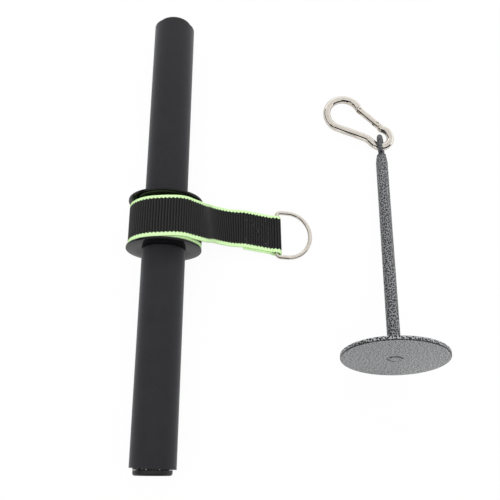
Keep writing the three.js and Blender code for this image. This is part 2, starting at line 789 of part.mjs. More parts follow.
// The whole set, with its origin at the middle of its footprint
const wristRoller = new THREE.Group();
wristRoller.add(roller, pin, hook);
wristRoller.updateMatrixWorld(true);
const bounds = new THREE.Box3().setFromObject(wristRoller, true);
const middle = bounds.getCenter(new THREE.Vector3());
wristRoller.position.set(-middle.x, -middle.y, -bounds.min.z);

export default wristRoller;
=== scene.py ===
from math import asin, atan2, cos, degrees, hypot, pi, radians, sin

import bmesh
import bpy
from mathutils import Matrix, Vector
from mathutils.geometry import interpolate_bezier
from mathutils.noise import noise


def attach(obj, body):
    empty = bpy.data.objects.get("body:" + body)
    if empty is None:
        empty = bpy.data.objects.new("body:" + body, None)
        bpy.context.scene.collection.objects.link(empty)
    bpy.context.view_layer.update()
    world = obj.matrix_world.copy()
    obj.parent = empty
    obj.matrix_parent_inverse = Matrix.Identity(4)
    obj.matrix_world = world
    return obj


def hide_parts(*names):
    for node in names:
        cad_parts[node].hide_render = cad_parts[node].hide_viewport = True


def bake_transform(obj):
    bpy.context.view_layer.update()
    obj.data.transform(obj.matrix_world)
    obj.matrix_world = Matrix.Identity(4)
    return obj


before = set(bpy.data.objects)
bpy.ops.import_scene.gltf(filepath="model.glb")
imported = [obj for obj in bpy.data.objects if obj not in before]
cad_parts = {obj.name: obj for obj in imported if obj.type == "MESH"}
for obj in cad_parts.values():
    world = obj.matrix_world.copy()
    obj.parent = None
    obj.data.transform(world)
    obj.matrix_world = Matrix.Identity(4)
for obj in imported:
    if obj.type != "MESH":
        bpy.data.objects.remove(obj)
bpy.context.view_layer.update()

# ---------------------------------------------------------------------------------------------
# Core tube: a bare drawn steel tube that everything on the bar is pushed on. Only its finish is
# made here, dark mill scale that is rubbed through to the bright steel in specks.
MM = 0.001
TUBE_RADIUS = 16


def tone(red, green, blue):
    """A colour as it is seen on a screen, from 0 to 255, for a shader's socket."""
    seen = [level / 255 for level in (red, green, blue)]
    return [c / 12.92 if c < 0.04045 else ((c + 0.055) / 1.055) ** 2.4 for c in seen] + [1]


class Reading:
    """A number that changes over a surface; sums on it add Math nodes."""

    def __init__(self, finish, socket):
        self.finish, self.socket = finish, socket

    def math(self, operation, *values):
        return self.finish.add(
            "ShaderNodeMath", {"operation": operation}, dict(enumerate(values))
        )

    def __add__(self, other):
        return self.math("ADD", self, other)

    def __radd__(self, other):
        return self.math("ADD", other, self)

    def __sub__(self, other):
        return self.math("SUBTRACT", self, other)

    def __rsub__(self, other):
        return self.math("SUBTRACT", other, self)

    def __mul__(self, other):
        return self.math("MULTIPLY", self, other)

    def __rmul__(self, other):
        return self.math("MULTIPLY", other, self)

    def __truediv__(self, other):
        return self.math("DIVIDE", self, other)

    def __rtruediv__(self, other):
        return self.math("DIVIDE", other, self)

    def __pow__(self, other):
        return self.math("POWER", self, other)

    def __rpow__(self, other):
        return self.math("POWER", other, self)

    def __abs__(self):
        return self.math("ABSOLUTE", self)

    def ramp(self, low, high):
        """0 below low and 1 above high, with a smooth step between."""
        return self.finish.add(
            "ShaderNodeMapRange",
            {"interpolation_type": "SMOOTHSTEP"},
            {"Value": self, "From Min": low, "From Max": high},
        )

    def tint(self, *stops):
        """A colour by this number, from (place, colour) stops."""
        return self.finish.add("ShaderNodeValToRGB", {"stops": stops}, {"Fac": self})


class Recipe:
    """A tree of shader nodes, which grows by one node at a time."""

    def __init__(self, tree):
        self.tree = tree

    def add(self, kind, settings=None, values=None, output=0):
        """A node of that type, with its settings, then its sockets' values or links."""
        node = self.tree.nodes.new(kind)
        for key, setting in (settings or {}).items():
            if key == "stops":
                stops = node.color_ramp.elements
                for i, end in ((0, setting[0]), (1, setting[-1])):
                    stops[i].position, stops[i].color = end
                for place, color in setting[1:-1]:
                    stops.new(place).color = color
            else:
                setattr(node, key, setting)
        for key, value in (values or {}).items():
            if isinstance(value, Reading):
                self.tree.links.new(value.socket, node.inputs[key])
            else:
                node.inputs[key].default_value = value
        return Reading(self, node.outputs[output])


class Finish(Recipe):
    """A surface finish: one shader with plain values, and what varies over the surface."""

    def __init__(self, name, **plain):
        self.material = bpy.data.materials.new(name)
        self.material.use_nodes = True
        super().__init__(self.material.node_tree)
        self.shader = self.tree.nodes["Principled BSDF"]
        for socket, value in plain.items():
            self.shader.inputs[socket.replace("_", " ")].default_value = value

    def place(self):
        """Where a point lies on the object, in metres."""
        return self.add("ShaderNodeTexCoord", output="Object")

    def grain(self, size, detail=2, rough=0.5):
        """Cloudy grain of that size in millimetres."""
        values = {
            "Vector": self.place(),
            "Scale": 1 / (size * MM),
            "Detail": detail,
            "Roughness": rough,
        }
        return self.add("ShaderNodeTexNoise", {"noise_dimensions": "3D"}, values)

    def feed(self, **readings):
        """Links what varies over the surface to the shader."""
        for socket, value in readings.items():
            self.tree.links.new(value.socket, self.shader.inputs[socket.replace("_", " ")])
        return self

    def relief(self, height, depth):
        """Raised and sunk detail of that depth in millimetres."""
        bump = self.add("ShaderNodeBump", None, {"Height": height, "Distance": depth * MM})
        self.feed(Normal=bump)


def refinish(name, finish):
    """Gives a CAD node its finish; its shape stays the CAD's."""
    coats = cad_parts[name].data.materials
    coats.clear()
    coats.append(finish.material)


scaled_steel = Finish("scaled_steel", Specular_IOR_Level=0.3)
rubbed = scaled_steel.grain(1.8, detail=3).ramp(0.6, 0.64)
scaled_steel.feed(
    Base_Color=rubbed.tint((0, tone(12, 12, 13)), (1, tone(176, 178, 180))),
    Roughness=0.4 - rubbed * 0.1,
    Metallic=rubbed,
)
refinish("core_tube", scaled_steel)

# ---------------------------------------------------------------------------------------------
# Spool flanges: two discs of 2 mm black-coated steel, welded on the tube either side of the
# wound webbing. The rims are rounded, and the coating is satin with a faint peel.
BAR = Matrix.Translation((-0.107626, 0, 0.033229)) @ Matrix.Scale(MM, 4)
SPOOL_GAP = 42
FLANGE_RADIUS = 33.15
FLANGE_THICKNESS = 2
FLANGE_EDGE = 0.4
FIT_GAP = 0.3
MERGE_GAP = 0.0005


def turned(profile, sides=128):
    """A turned piece about Y from its closed or axis-to-axis (radius, along) profile."""
    bm = bmesh.new()
    points = [bm.verts.new((radius, along, 0)) for radius, along in profile]
    lines = [bm.edges.new(pair) for pair in zip(points, points[1:])]
    if profile[0][0] or profile[-1][0]:
        lines.append(bm.edges.new((points[-1], points[0])))
    bmesh.ops.spin(
        bm,
        geom=points + lines,
        cent=(0, 0, 0),
        axis=(0, 1, 0),
        angle=2 * pi,
        steps=sides,
        use_merge=True,
    )
    bmesh.ops.remove_doubles(bm, verts=bm.verts, dist=MERGE_GAP)
    bmesh.ops.recalc_face_normals(bm, faces=bm.faces)
    return bm


def soften(bm, width, segments=3, least=30, only=lambda edge: True):
    """Rounds the edges that turn by more than the least angle."""
    sharp = [
        edge
        for edge in bm.edges
        if len(edge.link_faces) == 2 and edge.calc_face_angle() > radians(least) and only(edge)
    ]
    bmesh.ops.bevel(
        bm,
        geom=sharp,
        offset=width,
        offset_type="OFFSET",
        segments=segments,
        profile=0.5,
        affect="EDGES",
        clamp_overlap=True,
        material=-1,
    )


def piece(name, bm, finish, body, nodes, place, crease=40):
    """Makes a mesh a finished piece that rides on its body and stands for its nodes."""
    bmesh.ops.transform(bm, matrix=place, verts=bm.verts)
    mesh = bpy.data.meshes.new(name)
    bm.to_mesh(mesh)
    bm.free()
    mesh.shade_smooth()
    mesh.set_sharp_from_angle(angle=radians(crease))
    mesh.materials.append(finish.material)
    made = bpy.data.objects.new(name, mesh)
    bpy.context.scene.collection.objects.link(made)
    if body:
        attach(made, body)
    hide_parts(*nodes)
    return made


black_coat = Finish("black_coat", Specular_IOR_Level=0.28)
coat_cloud = black_coat.grain(9, detail=4)
coat_peel = black_coat.grain(0.7)
black_coat.feed(
    Base_Color=coat_cloud.tint((0.3, tone(8, 8, 9)), (0.7, tone(20, 20, 21))),
    Roughness=coat_cloud * 0.08 + 0.05,
).relief(coat_peel, 0.006)


def flange(name, side):
    """A flange on the lower (-1) or the upper (1) side of the spool."""
    inner, half = TUBE_RADIUS + FIT_GAP, FLANGE_THICKNESS / 2
    middle = side * (SPOOL_GAP / 2 + half)
    disc = turned(
        [
            (inner, middle - half),
            (FLANGE_RADIUS, middle - half),
            (FLANGE_RADIUS, middle + half),
            (inner, middle + half),
        ]
    )
    soften(disc, FLANGE_EDGE)
    piece(f"{name}_disc", disc, black_coat, "roller", [name], BAR)


flange("lower_flange", -1)
flange("upper_flange", 1)

# ---------------------------------------------------------------------------------------------
# Grips: sleeves of closed-cell foam, pushed over the tube up to the flanges. The foam is cut to
# length with a knife, so its outer end runs a little askew and its skin is matt and finely pored.
GRIP_RADIUS = 19
GRIP_LENGTH = 183
GRIP_EDGE = 0.9
GRIP_SLANT = 2.2
SPOOL_HALF = SPOOL_GAP / 2 + FLANGE_THICKNESS
BAR_HALF = SPOOL_HALF + GRIP_LENGTH

foam = Finish(
    "foam",
    Sheen_Weight=0.39,
    Sheen_Roughness=0.4,
    Sheen_Tint=tone(225, 228, 232),
    Specular_IOR_Level=0.3,
)
foam_cells = foam.add(
    "ShaderNodeTexVoronoi",
    {"feature": "F1"},
    {"Vector": foam.place(), "Scale": 1 / (0.8 * MM), "Randomness": 1.0},
)
foam_cloud = foam.grain(16, detail=5, rough=0.6)
foam_pores = foam.grain(0.35)
foam_level = foam_cloud * 0.7 + foam_cells * 0.3
foam.feed(
    Base_Color=foam_level.tint((0.25, tone(27, 26, 28)), (0.75, tone(39, 38, 41))),
    Roughness=foam_cloud * 0.2 + 0.62,
).relief(foam_cells * 0.6 + foam_pores * 0.6, 0.06)


def grip(name, side):
    """A grip on one side of the spool; its outer end is cut askew."""
    inner = TUBE_RADIUS + FIT_GAP
    near, far = SPOOL_HALF + FIT_GAP, BAR_HALF
    sleeve = turned([(inner, near), (GRIP_RADIUS, near), (GRIP_RADIUS, far), (inner, far)])
    slant = radians(GRIP_SLANT)
    bmesh.ops.bisect_plane(
        sleeve,
        geom=sleeve.verts[:] + sleeve.edges[:] + sleeve.faces[:],
        plane_co=(GRIP_RADIUS, far - 2 * GRIP_RADIUS * sin(slant), 0),
        plane_no=(sin(slant), cos(slant), 0),
        clear_outer=True,
    )
    open_rims = [edge for edge in sleeve.edges if edge.is_boundary]
    bmesh.ops.bridge_loops(sleeve, edges=open_rims)
    bmesh.ops.recalc_face_normals(sleeve, faces=sleeve.faces)
    soften(sleeve, GRIP_EDGE, segments=4, least=60)
    if side < 0:
        bmesh.ops.rotate(sleeve, verts=sleeve.verts, matrix=Matrix.Rotation(pi, 3, "Z"))
    piece(f"{name}_sleeve", sleeve, foam, "roller", [name], BAR)


grip("lower_grip", -1)
grip("upper_grip", 1)

# ---------------------------------------------------------------------------------------------
# End caps: moulded black plastic plugs, knocked into the tube. The ribs of the plug grip its
# inside, and the head has a rounded edge and a satin skin.
CAP_RADIUS = 15.9
CAP_HEAD = 4.5
CAP_ROUND = 2
CAP_PLUG = 15
CAP_RIB = 0.7
CAP_RIBS = 4
CAP_CREST = 0.75
TUBE_WALL = 2

moulded_cap = Finish("moulded_cap", Specular_IOR_Level=0.36)
cap_cloud = moulded_cap.grain(6, detail=3)
moulded_cap.feed(
    Base_Color=cap_cloud.tint((0.3, tone(20, 20, 21)), (0.7, tone(30, 30, 31))),
    Roughness=cap_cloud * 0.2 + 0.32,
).relief(moulded_cap.grain(0.5), 0.02)


def end_cap(name, side):
    """A cap in one end of the tube, with its ribbed plug."""
    plug = TUBE_RADIUS - TUBE_WALL - FIT_GAP
    seat = BAR_HALF + FIT_GAP
    pitch = CAP_PLUG / CAP_RIBS
    profile = [(0, seat - CAP_PLUG), (plug - CAP_RIB, seat - CAP_PLUG)]
    for i in range(CAP_RIBS):
        root = seat - CAP_PLUG + i * pitch
        profile += [(plug - CAP_RIB, root + pitch / 2), (plug, root + CAP_CREST * pitch)]
        profile += [(plug - CAP_RIB, root + pitch)]
    profile += [(CAP_RADIUS, seat), (CAP_RADIUS, BAR_HALF + CAP_HEAD), (0, BAR_HALF + CAP_HEAD)]
    plugged = turned(profile)
    head = BAR_HALF + CAP_HEAD - FIT_GAP
    soften(
        plugged,
        CAP_ROUND,
        segments=6,
        least=60,
        only=lambda edge: min(v.co.y for v in edge.verts) > head,
    )
    if side < 0:
        bmesh.ops.rotate(plugged, verts=plugged.verts, matrix=Matrix.Rotation(pi, 3, "Z"))
    piece(f"{name}_moulding", plugged, moulded_cap, "roller", [name], BAR)


end_cap("lower_end_cap", -1)
end_cap("upper_end_cap", 1)

# ---------------------------------------------------------------------------------------------
# Anchor screw and washer: zinc-plated steel, they pin the strap's inner end to the tube under
# the wound turns. Their shapes are the CAD nodes'; the finish is pale with a slight bloom.
zinc_plate = Finish("zinc_plate", Metallic=1.0)
zinc_bloom = zinc_plate.grain(1.5, detail=4)
zinc_plate.feed(
    Base_Color=zinc_bloom.tint((0.3, tone(178, 181, 184)), (0.7, tone(206, 208, 209))),
    Roughness=zinc_bloom * 0.25 + 0.22,
)
refinish("anchor_washer", zinc_plate)
refinish("anchor_screw", zinc_plate)

# ---------------------------------------------------------------------------------------------
# Strap: one length of 38 mm polyester webbing, black with lime selvedges. It is wound on the
# tube, leaves the spool towards the loading pin, drops to the table and is folded round the
# D-ring's bar, where its end is sewn back under it. The inner turns are a spiral of their own.
WEB_WIDTH = 36.9
WEB_THICKNESS = 1.7

# How it is wound. The UNDER sizes are how the second turn lies against the outer one, and a pair
# below them gives the turns back from the spool's end between which such a lay starts or ends.
RIM_INSET = 0.65
WIND_LOOPS = 2
WIND_GAP = 0.45
WIND_DRIFT = -2.1
LEAVE_DRIFT = 0.5
UNDER_SHIFT = 0.3
UNDER_TUCK = 0.65
UNDER_SNUG = 0.35
ASIDE_START = (0.6, 0.9)
TUCK_END = (1.02, 1.2)
SNUG_START = (0.95, 1)
SNUG_END = (1.1, 1.35)
LEAVE_ANGLE = 42
LEAVE_SHARE = 0.16
LOOSE_HEIGHT = 2.6
LOOSE_SHARE = 0.3
WIND_PITCH = WEB_THICKNESS + WIND_GAP
LEAVE_RADIUS = FLANGE_RADIUS - RIM_INSET - WEB_THICKNESS / 2

# The folded and sewn end round the D-ring's bar.
FOLD_REACH = 106.6
END_DRIFT = 9.9
END_SKEW = 2.3
LAYER_SHIFT = 1.3
FOLD_TURN = 1.4
END_TILT = 10.5
SEWN_LENGTH = 24.5
FOLD_TAPER = 9
RING_WIRE = 2
BAR_ROOM = 0.5
FOLD_RADIUS = RING_WIRE + BAR_ROOM
RING_PIVOT = WEB_THICKNESS + FOLD_RADIUS
END_LENGTH = SEWN_LENGTH + FOLD_TAPER

# The run between them, as shares of the way out, of the height that is left and of the way aside.
RUN_TWIST = 7
RUN_SHARES = [
    (0, 1, 0),
    (0.056, 0.943, 0.01),
    (0.16, 0.844, 0.04),
    (0.245, 0.734, 0.11),
    (0.303, 0.616, 0.26),
    (0.346, 0.495, 0.48),
    (0.391, 0.377, 0.67),
    (0.454, 0.27, 0.78),
    (0.531, 0.182, 0.85),
    (0.618, 0.114, 0.9),
    (0.713, 0.058, 0.93),
    (0.822, 0.023, 0.95),
    (0.94, 0.005, 0.98),
    (1, 0, 1),
]

# Steps of the mesh along each stretch, and strips across it.
WIND_STEPS = 144
RUN_STEPS = 72
SEWN_STEPS = 16
RISE_STEPS = 14
FOLD_STEPS = 20
CURVE_STEPS = 24
WEB_STRIPS = 16

# The weave, and the lime selvedges' teeth.
RIB_PITCH = 2.4
YARN_PITCH = 1.2
TOOTH_PITCH = 3.3
SELVEDGE = 2.0
SELVEDGE_ROUND = 0.5
TOOTH_DEPTH = 1.2
TOOTH_BLUR = 0.15
NEAR_EXTRA = 0.6


def lerp(low, high, share):
    """What lies that share of the way from low to high."""
    return low + (high - low) * share


def smooth(value, low, high):
    """0 below low and 1 above high, with a smooth step between."""
    share = min(max((value - low) / (high - low), 0), 1)
    return share * share * (3 - 2 * share)


def wound(back):
    """The strap's middle and its twist, so many turns back from the spool's end. The second turn
    lies snug under the outer one there, tucked in at first and shifted out further on."""
    angle = radians(LEAVE_ANGLE) - 2 * pi * back
    out = Vector((sin(angle), 0, cos(angle)))
    loose = min(max((1 - back) / LOOSE_SHARE, 0), 1)
    radius = LEAVE_RADIUS - WIND_PITCH * back + LOOSE_HEIGHT * sin(pi * loose) ** 2
    radius += UNDER_SNUG * smooth(back, *SNUG_START) * (1 - smooth(back, *SNUG_END))
    at = out * radius
    at.y = lerp(WIND_DRIFT, LEAVE_DRIFT, smooth(-back, -LEAVE_SHARE, 0))
    aside = lerp(-UNDER_TUCK, UNDER_SHIFT, smooth(back, *TUCK_END))
    at.y -= aside * smooth(back, *ASIDE_START)
    return at, 0


def along_points(points, steps):
    """Even steps along a smooth line through the points."""
    ends = [points[0] * 2 - points[1]] + points + [points[-1] * 2 - points[-2]]
    line = []
    for before, start, end, after in zip(ends, ends[1:], ends[2:], ends[3:]):
        handle = start + (end - before) / 6
        back = end - (after - start) / 6
        line += interpolate_bezier(start, handle, back, end, CURVE_STEPS)[:-1]
    line.append(points[-1])
    lengths = [0]
    for a, b in zip(line, line[1:]):
        lengths.append(lengths[-1] + (b - a).length)
    even, k = [], 0
    for i in range(steps + 1):
        want = lengths[-1] * i / steps
        while k + 2 < len(lengths) and lengths[k + 1] < want:
            k += 1
        share = (want - lengths[k]) / (lengths[k + 1] - lengths[k])
        even.append(line[k].lerp(line[k + 1], share))
    return even


END = Matrix.Translation((FOLD_REACH, 0, RING_PIVOT - FLANGE_RADIUS)) @ Matrix.Rotation(
    radians(END_TILT), 4, "Y"
)


def on_end(x, z, under=0):
    """A point of the sewn end, which runs slightly askew; its under layer lies a little aside."""
    aside = END_DRIFT - END_SKEW - END_SKEW / END_LENGTH * x - LAYER_SHIFT * under
    return END @ Vector((x, aside, z))


def strap_stations():
    """The strap's middle and its twist, from the second turn to the sewn end under the D-ring."""
    stations = [wound(WIND_LOOPS * (1 - i / WIND_STEPS)) for i in range(WIND_STEPS)]
    start = wound(0)[0]
    layer = WEB_THICKNESS / 2
    finish = on_end(-END_LENGTH, layer)
    points = [
        Vector((lerp(start.x, finish.x, u), lerp(start.y, finish.y, w), lerp(finish.z, start.z, v)))
        for u, v, w in RUN_SHARES
    ]
    for i, at in enumerate(along_points(points, RUN_STEPS)):
        stations.append((at, -radians(RUN_TWIST) * sin(pi * i / RUN_STEPS)))
    bend = FOLD_RADIUS + layer
    sewn = [lerp(-END_LENGTH, -FOLD_TAPER, i / SEWN_STEPS) for i in range(1, SEWN_STEPS + 1)]
    corners = [(-FOLD_TAPER, layer), (-FOLD_TAPER / 2, layer), (-FOLD_TAPER / 2, bend), (0, bend)]
    rise = interpolate_bezier(*[Vector(corner) for corner in corners], RISE_STEPS)
    flat = [(x, layer, 0) for x in sewn] + [(p[0], p[1], 0) for p in rise[1:]]
    for i in range(1, FOLD_STEPS + 1):
        turn = pi * i / FOLD_STEPS
        flat.append((bend * sin(turn), bend * cos(turn), i / FOLD_STEPS))
    flat += [(p[0], -p[1], 1) for p in rise[-2::-1]]
    back = [lerp(-FOLD_TAPER, -END_LENGTH, i / SEWN_STEPS) for i in range(1, SEWN_STEPS + 1)]
    flat += [(x, -layer, 1) for x in back]
    for point in flat:
        twist = -radians(FOLD_TURN) * smooth(point[0], -END_LENGTH, 0)
        stations.append((on_end(*point), twist))
    return stations


def ribbon(stations):
    """A strip of webbing bent along its stations; weave keeps each point's place on the flat."""
    bm = bmesh.new()
    last = len(stations) - 1
    bmesh.ops.create_grid(bm, x_segments=WEB_STRIPS, y_segments=last, size=0.5)
    weave = bm.verts.layers.float_vector.new("weave")
    lengths = [0]
    for (a, _), (b, _) in zip(stations, stations[1:]):
        lengths.append(lengths[-1] + (b - a).length)
    for point in bm.verts:
        side, i = 2 * point.co.x, round((point.co.y + 0.5) * last)
        at, twist = stations[i]
        width = Vector((sin(twist), cos(twist), 0))
        point[weave] = (side * WEB_WIDTH / 2, lengths[i], 0)
        point.co = at + width * (side * WEB_WIDTH / 2)
    bmesh.ops.recalc_face_normals(bm, faces=bm.faces)
    return bm


webbing = Finish(
    "webbing",
    Sheen_Weight=0.04,
    Sheen_Roughness=0.4,
    Specular_IOR_Level=0.15,
)
weave = webbing.add("ShaderNodeAttribute", {"attribute_name": "weave"}, output="Vector")
weave_across = webbing.add("ShaderNodeSeparateXYZ", None, {0: weave}, 0)
weave_along = webbing.add("ShaderNodeSeparateXYZ", None, {0: weave}, 1)


def wave(number, pitch):
    """A smooth wave from 0 to 1."""
    return number.math("SINE", number * (2 * pi / pitch)) * 0.5 + 0.5


ribs = wave(weave_along, RIB_PITCH) ** 0.7 * 0.7 + wave(weave_along, RIB_PITCH / 2) * 0.3
rib_number = weave_along.math("FLOOR", weave_along / RIB_PITCH)
yarns = wave(weave_across + rib_number * (YARN_PITCH / 2), YARN_PITCH)
teeth = weave_along.math("PINGPONG", weave_along, TOOTH_PITCH / 2) / (TOOTH_PITCH / 2)
near_side = 1 - weave_across.ramp(-1, 1)
from_edge = WEB_WIDTH / 2 - abs(weave_across) - NEAR_EXTRA * near_side
lime = (SELVEDGE + TOOTH_DEPTH * teeth - from_edge).ramp(-TOOTH_BLUR, TOOTH_BLUR)
fuzz = webbing.grain(0.4)
# The yarn colours follow the relief's ribs and yarns: the grooves are painted darker as shade and
# the crests lighter, and the fuzz is the yarn's own tone.
black_yarn_and_groove_shade = (ribs * 0.65 + yarns * 0.25 + fuzz * 0.4).tint(
    (0.46, tone(0, 0, 0)), (1.0, tone(54, 54, 54))
)
lime_yarn_and_groove_shade = (ribs * 0.35 + fuzz * 0.65).tint(
    (0.2, tone(192, 248, 164)), (0.8, tone(234, 255, 204))
)
webbing.feed(
    Base_Color=webbing.add(
        "ShaderNodeMix",
        {"data_type": "RGBA", "clamp_factor": True},
        {0: lime, 6: black_yarn_and_groove_shade, 7: lime_yarn_and_groove_shade},
        2,
    ),
    Roughness=fuzz * 0.2 + 0.65,
).relief(ribs * 0.8 + yarns * 0.35 + fuzz * 0.3, 0.32)


def as_webbing(made):
    """Gives a ribbon its thickness and its rounded selvedges."""
    wall = made.modifiers.new("thickness", "SOLIDIFY")
    wall.thickness, wall.offset, wall.use_even_offset = WEB_THICKNESS * MM, 0, True
    edge = made.modifiers.new("selvedge", "BEVEL")
    edge.width, edge.segments, edge.limit_method = SELVEDGE_ROUND * MM, 3, "ANGLE"
    edge.angle_limit = radians(60)


CORE_RADIUS = LEAVE_RADIUS - WIND_LOOPS * WIND_PITCH - WEB_THICKNESS / 2 - FIT_GAP
CORE_LOOPS = 3
CORE_STEPS = 96
CORE_TAIL = 28
HEAD_TOP = 22.1
HEAD_SIDE = 12
HEAD_SHOULDER = 50


def core_stations():
    """The inner turns, from the strap's end under the screw; the later ones lie over its head."""
    steps, tail = CORE_STEPS * CORE_LOOPS, CORE_TAIL / 360
    low = TUBE_RADIUS + FIT_GAP + WEB_THICKNESS / 2
    high = CORE_RADIUS - WEB_THICKNESS / 2
    for i in range(steps + 1):
        turn = lerp(-tail, CORE_LOOPS - tail, i / steps)
        out = Vector((-sin(2 * pi * turn), 0, -cos(2 * pi * turn)))
        radius = lerp(low, high, max(turn - tail, 0) / (CORE_LOOPS - 2 * tail))
        lap = round(turn)
        if 0 < lap < CORE_LOOPS:
            beside = abs(turn - lap) * 360
            over = HEAD_TOP + (lap - 0.5) * WEB_THICKNESS + FIT_GAP / 2 * lap
            radius = lerp(max(radius, over), radius, smooth(beside, HEAD_SIDE, HEAD_SHOULDER))
        yield out * radius, 0


inner_turns = piece(
    "strap_inner_turns",
    ribbon(list(core_stations())),
    webbing,
    "roller",
    ["strap_core"],
    BAR,
    crease=60,
)
as_webbing(inner_turns)
strap = piece(
    "strap",
    ribbon(strap_stations()),
    webbing,
    None,
    ["strap_winding", "strap_run", "strap_end"],
    BAR,
    crease=60,
)
as_webbing(strap)
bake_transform(strap)

# ---------------------------------------------------------------------------------------------
# Stitching: a box with a cross in it, sewn in thick black polyester thread through both layers.
# Each stitch is a short bead of thread that bites into the webbing at its ends.
THREAD_WIDTH = 0.8
THREAD_HEIGHT = 0.3
THREAD_LIFT = 0.1
THREAD_INSET = 4
STITCH_LENGTH = 2.6
STITCH_FILL = 0.92

thread = Finish("thread", Sheen_Weight=0.05, Specular_IOR_Level=0.3)
thread_ply_and_glints = thread.grain(0.9)
# The thread's pale grey specks are painted glints; the darker mottle is the thread's own ply.
thread.feed(
    Base_Color=thread_ply_and_glints.tint(
        (0.3, tone(2, 2, 2)), (0.56, tone(20, 20, 21)), (0.68, tone(120, 120, 118))
    ),
    Roughness=thread_ply_and_glints * 0.2 + 0.45,
).relief(thread_ply_and_glints, 0.05)


def stitches():
    """Beads of thread along the four sides and the two diagonals of the sewn box."""
    bm = bmesh.new()
    low, high = THREAD_INSET / 2 - END_LENGTH, -FOLD_TAPER - THREAD_WIDTH
    half = WEB_WIDTH / 2 - THREAD_INSET
    corners = [(low, -half), (high, -half), (high, half), (low, half)]
    top = WEB_THICKNESS + THREAD_LIFT
    bead = (STITCH_LENGTH * STITCH_FILL / 2, THREAD_WIDTH / 2, THREAD_HEIGHT)
    for i, start in enumerate(corners):
        for end in corners[i + 1 :]:
            dx, dy = end[0] - start[0], end[1] - start[1]
            count = round(hypot(dx, dy) / STITCH_LENGTH)
            for k in range(count):
                share = (k + 0.5) / count
                x, y = lerp(start[0], end[0], share), lerp(start[1], end[1], share)
                skewed = y + END_DRIFT - END_SKEW - END_SKEW / END_LENGTH * x
                heading = Matrix.Rotation(atan2(dy, dx), 4, "Z")
                shape = Matrix.Translation((x, skewed, top)) @ heading @ Matrix.Diagonal((*bead, 1))
                bmesh.ops.create_icosphere(bm, subdivisions=2, radius=1, matrix=shape)
    return bm


piece(
    "stitching",
    stitches(),
    thread,
    "sewn_end",
    ["strap_stitching"],
    BAR @ END,
    crease=180,
)

# ---------------------------------------------------------------------------------------------
# D-ring: 4 mm steel wire, bent to a D, butt-welded in its straight bar and nickel plated.
# The plate is bright, with the faint waves of a barrel finish.
RING_HALF = 22.45
RING_DEPTH = 33.1
RING_CORNER = 3.6
RING_OFFSET = 0.8
BEND_STEPS = 12
BOW_STEPS = 72

nickel = Finish("nickel", Metallic=1.0)
nickel_cloud = nickel.grain(5, detail=4)
nickel.feed(
    Base_Color=nickel_cloud.tint((0.3, tone(214, 207, 197)), (0.7, tone(230, 224, 215))),
    Roughness=nickel_cloud * 0.06 + 0.02,
).relief(nickel_cloud, 0.01)


def arc(x, y, radius, start, end, steps):
    """Points on an arc between two angles in degrees."""
    turns = [radians(lerp(start, end, i / steps)) for i in range(steps + 1)]
    return [(x + radius * cos(a), y + radius * sin(a)) for a in turns]


def bent_wire(path, radius, closed, roundness=7):
    """Round wire along a flat path."""
    line = bpy.data.curves.new("wire_path", "CURVE")
    line.dimensions = "3D"
    line.bevel_depth, line.bevel_resolution, line.use_fill_caps = radius, roundness, True
    run = line.splines.new("POLY")
    run.points.add(len(path) - 1)
    for point, (x, y) in zip(run.points, path):
        point.co = (x, y, 0, 1)
    run.use_cyclic_u = closed
    holder = bpy.data.objects.new("wire_path", line)
    bpy.context.scene.collection.objects.link(holder)
    shape = bpy.data.meshes.new_from_object(
        holder.evaluated_get(bpy.context.evaluated_depsgraph_get())
    )
    bm = bmesh.new()
    bm.from_mesh(shape)
    bpy.data.objects.remove(holder)
    bpy.data.curves.remove(line)
    bpy.data.meshes.remove(shape)
    bmesh.ops.remove_doubles(bm, verts=bm.verts, dist=MERGE_GAP)
    bmesh.ops.recalc_face_normals(bm, faces=bm.faces)
    return bm


bow = RING_DEPTH - RING_HALF
ring_path = arc(RING_CORNER, RING_HALF - RING_CORNER, RING_CORNER, 180, 90, BEND_STEPS)
ring_path += arc(bow, 0, RING_HALF, 90, -90, BOW_STEPS)
ring_path += arc(RING_CORNER, RING_CORNER - RING_HALF, RING_CORNER, -90, -180, BEND_STEPS)
RING = (
    END
    @ Matrix.Translation((0, END_DRIFT - END_SKEW + RING_OFFSET, 0))
    @ Matrix.Rotation(asin((RING_PIVOT - RING_WIRE) / RING_DEPTH) - radians(END_TILT), 4, "Y")
)
piece(
    "d_ring_wire",
    bent_wire(ring_path, RING_WIRE, True),
    nickel,
    "ring",
    ["d_ring"],
    BAR @ RING,
)

# ---------------------------------------------------------------------------------------------
# Base plate: a round of 4 mm steel in hammered paint, silver flecks over dark grey. The paint
# lies paler and softer on the flat faces than on the rim, and dark round the rod's foot.
PLATE_RADIUS = 47
PLATE_THICKNESS = 4
PLATE_EDGE = 0.8
PLATE_SIDES = 160
FACE_SLOPE = 0.9
ROD_RADIUS = 5.8
ROD_SINK = 1
TENON_RADIUS = 5
TENON_HEAD = 7
TENON_DEPTH = 2.2
TENON_DOME = 0.5
FOOT_SEAM = (4.7, 7)
SEAM_BLUR = 0.5
SEAM_SPLITS = (0.15, 0.5)
SEAM_DEPTH = (1, 2)
SEAM_GRAIN = 3
SEAM_BREAKS = (0.36, 0.42)
BRINK = (1, 0.5)
BRINK_DEPTH = (0.7, 1.5)
BRINK_SHADE = 0.6
PIN = (
    Matrix.Translation((0.093674, -0.1143, 0.047097))
    @ Matrix.Rotation(radians(-3.14), 4, "Z")
    @ Matrix.Rotation(radians(-9.4595), 4, "X")
    @ Matrix.Scale(MM, 4)
)


